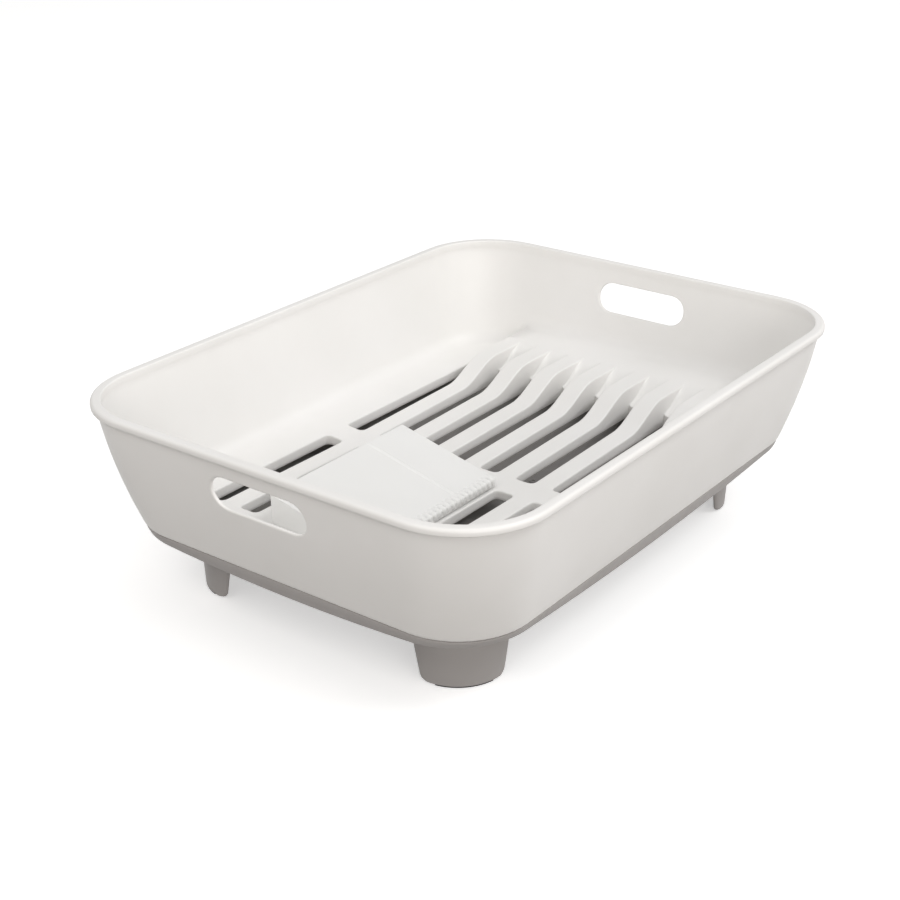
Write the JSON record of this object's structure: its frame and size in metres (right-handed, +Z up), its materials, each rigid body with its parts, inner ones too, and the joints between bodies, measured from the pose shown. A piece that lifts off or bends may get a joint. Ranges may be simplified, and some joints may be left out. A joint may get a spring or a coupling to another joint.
{
  "type": "dish drying rack",
  "caption": "Open tub with rounded corners, hand slots in its end walls and plate ribs in its floor, over a shallow pan on short corner legs, with a sloping drainer that lifts out.",
  "frame": {"origin": "On the surface the feet stand on, below the middle of the rim.", "axes": "+X runs along the tub from the near handle wall to the far one, +Y towards the left wall, +Z up."},
  "size_m": [0.48, 0.3626, 0.15],
  "materials": {
    "tub_white": "fine satin moulding",
    "pan_grey": "fine satin moulding",
    "drainer_white": "smooth satin moulding",
    "pad_rubber": "matt",
    "screw_steel": "plated"
  },
  "bodies": {
    "rack": {"tub_near_wall_upper": "tub_white", "tub_near_wall_lower": "tub_white", "tub_near_wall_left": "tub_white", "tub_near_wall_right": "tub_white", "tub_far_wall_upper": "tub_white", "tub_far_wall_lower": "tub_white", "tub_far_wall_left": "tub_white", "tub_far_wall_right": "tub_white", "tub_left_wall": "tub_white", "tub_right_wall": "tub_white", "tub_corner_near_left_1": "tub_white", "tub_corner_near_left_2": "tub_white", "tub_corner_near_right_1": "tub_white", "tub_corner_near_right_2": "tub_white", "tub_corner_far_left_1": "tub_white", "tub_corner_far_left_2": "tub_white", "tub_corner_far_right_1": "tub_white", "tub_corner_far_right_2": "tub_white", "tub_foot_near_left_1": "tub_white", "tub_foot_near_left_2": "tub_white", "tub_foot_near_right_1": "tub_white", "tub_foot_near_right_2": "tub_white", "tub_foot_far_left_1": "tub_white", "tub_foot_far_left_2": "tub_white", "tub_foot_far_right_1": "tub_white", "tub_foot_far_right_2": "tub_white", "tub_floor": "tub_white", "tub_crossbar": "tub_white", "tub_plate_stop": "tub_white", "tub_slot_scoops": "tub_white", "tub_screw_bosses": "tub_white", "near_rib_1": "tub_white", "near_rib_2": "tub_white", "near_rib_3": "tub_white", "near_rib_4": "tub_white", "near_rib_5": "tub_white", "near_rib_6": "tub_white", "near_rib_7": "tub_white", "far_rib_1": "tub_white", "far_rib_2": "tub_white", "far_rib_3": "tub_white", "far_rib_4": "tub_white", "far_rib_5": "tub_white", "far_rib_6": "tub_white", "far_rib_7": "tub_white", "drip_pan": "pan_grey", "leg_near_left": "pan_grey", "leg_near_right": "pan_grey", "leg_far_left": "pan_grey", "leg_far_right": "pan_grey", "foot_pad_near_left": "pad_rubber", "foot_pad_near_right": "pad_rubber", "foot_pad_far_left": "pad_rubber", "foot_pad_far_right": "pad_rubber", "pan_screws": "screw_steel"},
    "drainer": {"drainer": "drainer_white"}
  },
  "joints": [
    {"name": "drainer_lift", "type": "slide", "parent": "rack", "child": "drainer", "axis": [0, 0, 1], "range_m": [0, 0.16]}
  ]
}
